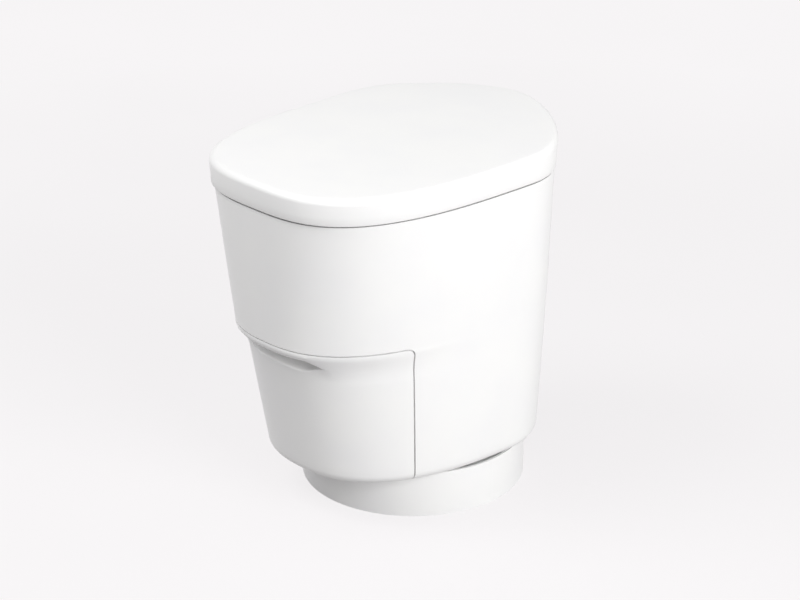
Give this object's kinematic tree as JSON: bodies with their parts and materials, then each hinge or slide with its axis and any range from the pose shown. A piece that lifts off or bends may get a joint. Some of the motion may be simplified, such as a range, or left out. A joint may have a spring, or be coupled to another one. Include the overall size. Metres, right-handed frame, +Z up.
{
  "type": "waterless toilet",
  "caption": "Waterless toilet: tapered body on a round swivel foot, hinged lid and seat, film cartridge, sealing jaws and a front drawer with a bin.",
  "frame": {"origin": "centre of the swivel foot on the floor", "axes": "+Z up, the front of the toilet faces -Y, +X to the right of a viewer who faces the front"},
  "size_m": [0.388, 0.515, 0.5348],
  "materials": {
    "white_shell": "fine satin",
    "white_seat": "gloss",
    "grey_plastic": "fine grain",
    "dark_plastic": "fine grain",
    "acetal": "satin",
    "film": "satin",
    "rubber": "matte",
    "silicone": "satin",
    "sheet_steel": "zinc plated",
    "screw_steel": "zinc plated",
    "ground_steel": "ground",
    "jaw_aluminium": "anodised",
    "motor_black": "satin",
    "brass": "satin",
    "board_green": "solder mask"
  },
  "bodies": {
    "foot": {"foot_ring": "white_shell", "glide_ring": "acetal"},
    "body": {"swivel_hub": "grey_plastic", "hub_retainer": "sheet_steel", "hub_screws": "screw_steel", "housing": "white_shell", "middle_deck": "grey_plastic", "top_deck": "white_shell", "deck_screws": "screw_steel", "bowl_funnel": "grey_plastic", "liner_cartridge": "grey_plastic", "film_pack": "film", "cartridge_cap": "grey_plastic", "liner_film": "film", "seal_frame_front": "sheet_steel", "seal_frame_rear": "sheet_steel", "guide_rods": "ground_steel", "pinion_bushes": "brass", "jaw_motor": "motor_black", "feed_motor": "motor_black", "control_board": "board_green", "board_bracket": "sheet_steel", "power_inlet": "dark_plastic", "drawer_rails": "sheet_steel", "drawer_magnet": "motor_black", "drawer_stop": "sheet_steel", "hinge_bracket": "sheet_steel", "hinge_pin": "ground_steel", "hinge_dampers": "dark_plastic"},
    "seat_unit": {"seat": "white_seat", "seat_arms": "sheet_steel", "seat_bumpers": "rubber"},
    "lid": {"lid_shell": "white_shell", "lid_panel": "white_shell", "lid_arms": "sheet_steel", "lid_bumpers": "rubber"},
    "drawer": {"drawer_front": "white_shell", "drawer_tray": "grey_plastic", "drawer_screws": "screw_steel", "waste_bin": "dark_plastic", "bag_ring": "grey_plastic"},
    "left_jaw": {"jaw_left": "jaw_aluminium", "jaw_pad": "silicone", "rack_left": "acetal"},
    "right_jaw": {"jaw_right": "jaw_aluminium", "heater_bar": "brass", "rack_right": "acetal"},
    "drive_gear": {"drive_pinion": "acetal"},
    "idle_gear": {"idle_pinion": "acetal"},
    "left_roller": {"feed_roller_left": "ground_steel", "roller_sleeve_left": "rubber", "roller_gear_left": "acetal"},
    "right_roller": {"feed_roller_right": "ground_steel", "roller_sleeve_right": "rubber", "roller_gear_right": "acetal"}
  },
  "joints": [
    {"name": "foot_swivel", "type": "hinge", "parent": "foot", "child": "body", "pos_m": [0, 0, 0.066], "axis": [0, 0, 1], "range_deg": [-90, 90]},
    {"name": "seat_hinge", "type": "hinge", "parent": "body", "child": "seat_unit", "pos_m": [0, 0.185, 0.452], "axis": [1, 0, 0], "range_deg": [-95, 0]},
    {"name": "lid_hinge", "type": "hinge", "parent": "seat_unit", "child": "lid", "pos_m": [0, 0.185, 0.452], "axis": [-1, 0, 0], "range_deg": [0, 100]},
    {"name": "drawer_slide", "type": "slide", "parent": "body", "child": "drawer", "axis": [0, -1, 0], "range_m": [0, 0.225]},
    {"name": "jaw_left_slide", "type": "slide", "parent": "body", "child": "left_jaw", "axis": [1, 0, 0], "range_m": [0, 0.0717]},
    {"name": "jaw_right_slide", "type": "slide", "parent": "body", "child": "right_jaw", "axis": [-1, 0, 0], "range_m": [0, 0.072]},
    {"name": "drive_gear_spin", "type": "hinge", "parent": "body", "child": "drive_gear", "pos_m": [0, 0.14, 0.347], "axis": [0, 1, 0], "range_deg": [0, 229]},
    {"name": "idle_gear_spin", "type": "hinge", "parent": "body", "child": "idle_gear", "pos_m": [0, -0.2, 0.347], "axis": [0, 1, 0], "range_deg": [0, 229]},
    {"name": "left_roller_spin", "type": "hinge", "parent": "body", "child": "left_roller", "pos_m": [-0.01, -0.03, 0.308], "axis": [0, 1, 0], "continuous": true},
    {"name": "right_roller_spin", "type": "hinge", "parent": "body", "child": "right_roller", "pos_m": [0.01, -0.03, 0.308], "axis": [0, 1, 0], "continuous": true}
  ],
  "couplings": [
    {"joint": "jaw_right_slide", "follows": "jaw_left_slide", "ratio": 1},
    {"joint": "drive_gear_spin", "follows": "jaw_left_slide", "rad_per_m": 55.556},
    {"joint": "idle_gear_spin", "follows": "jaw_left_slide", "rad_per_m": 55.556},
    {"joint": "right_roller_spin", "follows": "left_roller_spin", "ratio": -1}
  ]
}
